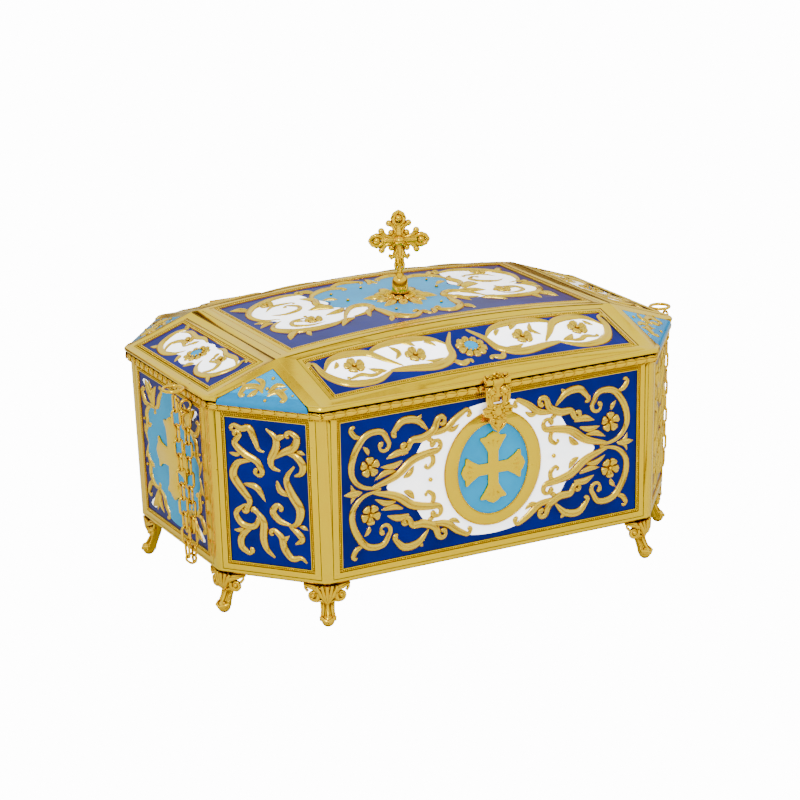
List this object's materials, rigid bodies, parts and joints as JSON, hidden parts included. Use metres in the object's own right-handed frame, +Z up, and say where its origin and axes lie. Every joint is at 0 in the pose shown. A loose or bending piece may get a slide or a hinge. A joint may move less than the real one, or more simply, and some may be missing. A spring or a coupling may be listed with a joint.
{
  "type": "reliquary casket",
  "caption": "Eight-sided enamelled casket on scroll feet with a hinged domed lid, a cross finial, a hasp and stay chains.",
  "frame": {"origin": "on the floor under the middle of the casket", "axes": "+X to the casket's right seen from the front, +Y to the back where the hinges are, +Z up"},
  "size_m": [0.2714, 0.1906, 0.1651],
  "materials": {
    "gilt_copper": "bright yellow gilding over cast and chased copper alloy, polished on the high places, darker in the hollows",
    "cobalt_enamel": "glossy vitreous enamel, cobalt blue with white and light blue fields between raised gilt scrolls",
    "sky_enamel": "glossy light blue vitreous enamel with gilt flourishes"
  },
  "bodies": {
    "box": {"box_shell": "gilt_copper", "panel_front": "cobalt_enamel", "panel_front_right": "cobalt_enamel", "panel_right_end": "cobalt_enamel", "panel_back_right": "cobalt_enamel", "panel_back": "cobalt_enamel", "panel_back_left": "cobalt_enamel", "panel_left_end": "cobalt_enamel", "panel_front_left": "cobalt_enamel", "foot_1": "gilt_copper", "foot_2": "gilt_copper", "foot_3": "gilt_copper", "foot_4": "gilt_copper", "foot_5": "gilt_copper", "foot_6": "gilt_copper", "foot_7": "gilt_copper", "foot_8": "gilt_copper", "hinge_box_leaf_left": "gilt_copper", "hinge_box_leaf_right": "gilt_copper", "hinge_pin_left": "gilt_copper", "hinge_pin_right": "gilt_copper", "hasp_catch": "gilt_copper", "staple_left": "gilt_copper", "staple_right": "gilt_copper", "chain_left": "gilt_copper", "chain_right": "gilt_copper"},
    "lid": {"lid_shell": "gilt_copper", "lid_panel_top": "cobalt_enamel", "lid_panel_front": "cobalt_enamel", "lid_panel_back": "cobalt_enamel", "lid_panel_right_end": "cobalt_enamel", "lid_panel_left_end": "cobalt_enamel", "lid_panel_back_right": "sky_enamel", "lid_panel_back_left": "sky_enamel", "lid_panel_front_left": "sky_enamel", "lid_panel_front_right": "sky_enamel", "finial_rosette": "gilt_copper", "finial_cross": "gilt_copper", "hinge_lid_leaf_left": "gilt_copper", "hinge_lid_leaf_right": "gilt_copper", "hasp_lug": "gilt_copper", "hasp_pin": "gilt_copper", "lid_ring_left": "gilt_copper", "lid_ring_right": "gilt_copper"},
    "hasp": {"hasp_leaf": "gilt_copper"}
  },
  "joints": [
    {"name": "lid_hinge", "type": "hinge", "parent": "box", "child": "lid", "pos_m": [0, 0.0935, 0.1028], "axis": [-1, 0, 0], "range_deg": [0, 95], "deforming": ["chain_left", "chain_right"]},
    {"name": "hasp_hinge", "type": "hinge", "parent": "lid", "child": "hasp", "pos_m": [0, -0.0934, 0.1042], "axis": [-1, 0, 0], "range_deg": [0, 110]}
  ]
}
